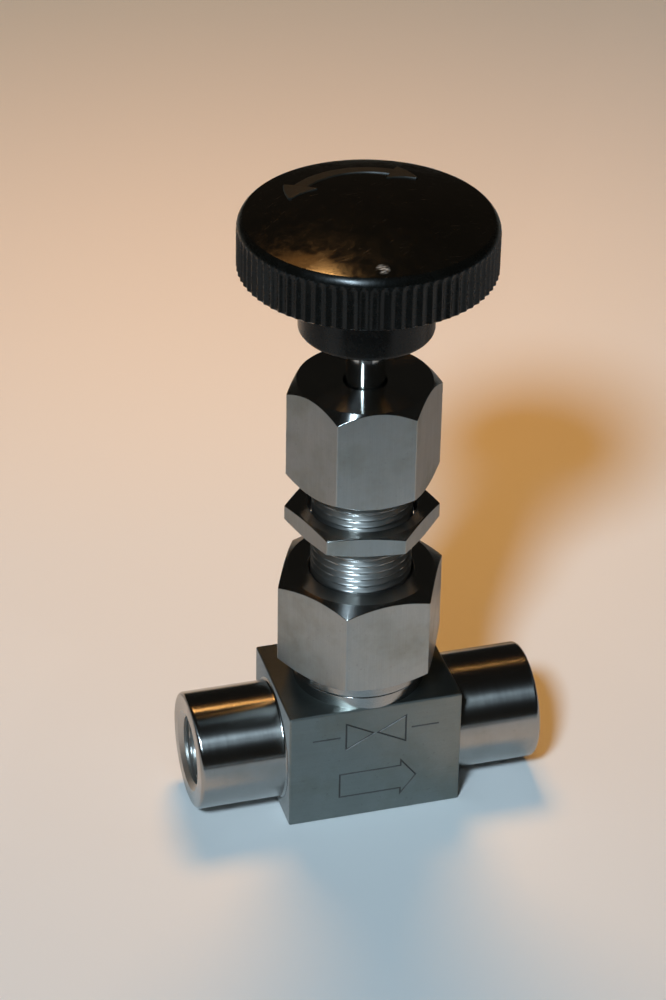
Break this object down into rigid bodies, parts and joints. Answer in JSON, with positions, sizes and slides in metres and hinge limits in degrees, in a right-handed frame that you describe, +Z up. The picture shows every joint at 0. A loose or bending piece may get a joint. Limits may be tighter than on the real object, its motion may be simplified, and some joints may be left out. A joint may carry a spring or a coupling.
{
  "type": "needle valve",
  "caption": "Panel-mounting needle valve: square bar body with female pipe ports, union nut bonnet, packing nut and a round fluted hand knob on a rising stem.",
  "frame": {"origin": "centre of the block's bottom face, which stands on the surface", "axes": "+X along the flow from inlet to outlet, +Y away from the marked face, +Z up along the stem"},
  "size_m": [0.0596, 0.0414, 0.111],
  "materials": {
    "bar_steel": "brushed along the bar, satin stainless steel",
    "nut_steel": "satin drawn hexagon bar, turned ends",
    "turned_steel": "fine turned",
    "polished_steel": "ground and polished",
    "brass": "turned",
    "white_packing": "smooth waxy white",
    "gasket_steel": "dull",
    "black_phenolic": "glossy moulded black",
    "black_oxide": "black oxide"
  },
  "bodies": {
    "valve": {"valve_body": "bar_steel", "bonnet": "turned_steel", "bonnet_gasket": "gasket_steel", "union_nut": "nut_steel", "packing_nut": "nut_steel", "packing_gland": "turned_steel", "packing_washer": "turned_steel", "packing_ring_lower": "white_packing", "packing_ring_middle": "white_packing", "packing_ring_upper": "white_packing", "guide_pin_outlet_side": "polished_steel", "guide_pin_inlet_side": "polished_steel"},
    "needle": {"lower_stem": "polished_steel", "needle_tip": "polished_steel", "thrust_ball": "polished_steel", "stem_clip": "turned_steel"},
    "handle": {"stem": "polished_steel", "knob": "black_phenolic", "knob_insert": "brass", "set_screw": "black_oxide"},
    "panel_nut": {"panel_nut": "nut_steel"}
  },
  "joints": [
    {"name": "needle_lift", "type": "slide", "parent": "valve", "child": "needle", "axis": [0, 0, 1], "range_m": [-0.00381, 0.00254]},
    {"name": "knob_turn", "type": "hinge", "parent": "needle", "child": "handle", "pos_m": [0, 0, 0.1], "axis": [0, 0, 1], "range_deg": [-1082, 722]},
    {"name": "panel_nut_travel", "type": "slide", "parent": "valve", "child": "panel_nut", "axis": [0, 0, 1], "range_m": [-0.0085, 0.005]}
  ],
  "couplings": [
    {"joint": "knob_turn", "follows": "needle_lift", "rad_per_m": 4947.4}
  ]
}
